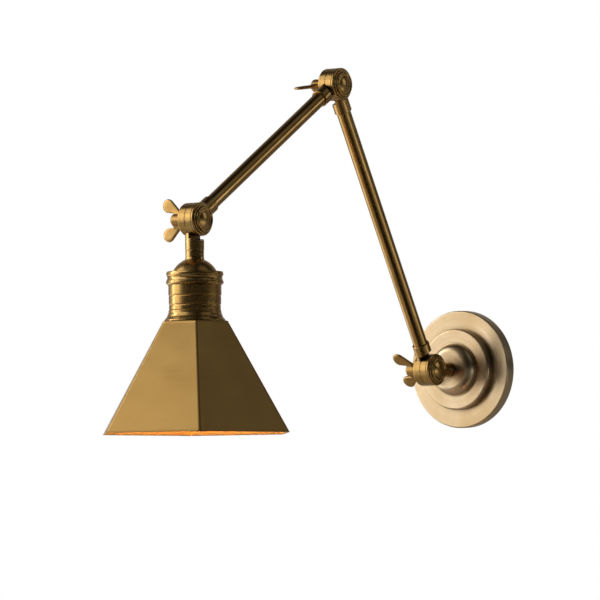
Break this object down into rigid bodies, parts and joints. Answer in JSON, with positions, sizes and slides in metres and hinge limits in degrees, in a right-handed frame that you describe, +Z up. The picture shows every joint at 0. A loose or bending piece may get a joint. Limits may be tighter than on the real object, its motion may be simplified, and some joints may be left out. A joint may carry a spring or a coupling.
{
  "type": "articulating wall lamp",
  "caption": "Jointed wall lamp in antique brass: a stepped round rose, folding arms on wing-nut knuckles, and a turned gallery with a faceted metal shade.",
  "frame": {"origin": "centre of the rose's back face, on the wall", "axes": "+Y into the wall, so the lamp reaches out towards -Y; +Z up; the three knuckle pivots lie along X, with the wing nuts on the -X side"},
  "size_m": [0.1648, 0.4549, 0.3019],
  "materials": {
    "antique_brass": "satin, lightly aged",
    "shade_brass": "brushed, lightly aged",
    "plain_steel": "zinc plated",
    "dark_fibre": "matt",
    "black_insulator": "matt",
    "warm_glass": "frosted, lit"
  },
  "bodies": {
    "rose": {"backplate": "antique_brass", "step_disc": "antique_brass", "boss": "antique_brass", "stem_washer": "plain_steel", "stem_nut": "plain_steel", "wall_strap": "plain_steel", "grub_screws": "plain_steel", "terminal_block": "black_insulator", "terminal_screws": "plain_steel", "earth_screw": "antique_brass", "stem_knuckle": "antique_brass", "wall_bolt": "antique_brass", "wall_cap_washer": "antique_brass", "wall_friction_washer": "dark_fibre", "wall_spring_washer": "plain_steel"},
    "wall_wing": {"wall_wing_nut": "antique_brass"},
    "lower_arm": {"lower_arm_foot": "antique_brass", "lower_arm_tube": "antique_brass", "lower_arm_top": "antique_brass", "elbow_bolt": "antique_brass", "elbow_cap_washer": "antique_brass", "elbow_friction_washer": "dark_fibre", "elbow_spring_washer": "plain_steel"},
    "elbow_wing": {"elbow_wing_nut": "antique_brass"},
    "upper_arm": {"upper_arm_root": "antique_brass", "upper_arm_tube": "antique_brass", "upper_arm_tip": "antique_brass", "head_bolt": "antique_brass", "head_cap_washer": "antique_brass", "head_friction_washer": "dark_fibre", "head_spring_washer": "plain_steel"},
    "head_wing": {"head_wing_nut": "antique_brass"},
    "head": {"head_knuckle": "antique_brass", "neck": "antique_brass", "dome": "antique_brass", "neck_nut": "plain_steel", "collar": "antique_brass", "gallery_sleeve": "antique_brass", "shade_fitter": "antique_brass", "shade": "shade_brass", "shade_ring": "antique_brass", "lampholder": "black_insulator", "screw_shell": "antique_brass", "centre_contact": "antique_brass", "bulb_cap": "antique_brass", "bulb_glass": "warm_glass"}
  },
  "joints": [
    {"name": "wall_joint", "type": "hinge", "parent": "rose", "child": "lower_arm", "pos_m": [0, -0.0535, 0], "axis": [-1, 0, 0], "range_deg": [-62, 32]},
    {"name": "elbow_joint", "type": "hinge", "parent": "lower_arm", "child": "upper_arm", "pos_m": [0, -0.17808, 0.23728], "axis": [-1, 0, 0], "range_deg": [-26, 153]},
    {"name": "head_joint", "type": "hinge", "parent": "upper_arm", "child": "head", "pos_m": [0, -0.3704, 0.12264], "axis": [-1, 0, 0], "range_deg": [-60, 120]},
    {"name": "wall_wing_turn", "type": "hinge", "parent": "rose", "child": "wall_wing", "pos_m": [0, -0.0535, 0], "axis": [-1, 0, 0], "range_deg": [0, 180]},
    {"name": "elbow_wing_turn", "type": "hinge", "parent": "lower_arm", "child": "elbow_wing", "pos_m": [0, -0.17808, 0.23728], "axis": [-1, 0, 0], "range_deg": [0, 180]},
    {"name": "head_wing_turn", "type": "hinge", "parent": "upper_arm", "child": "head_wing", "pos_m": [0, -0.3704, 0.12264], "axis": [-1, 0, 0], "range_deg": [0, 180]}
  ]
}
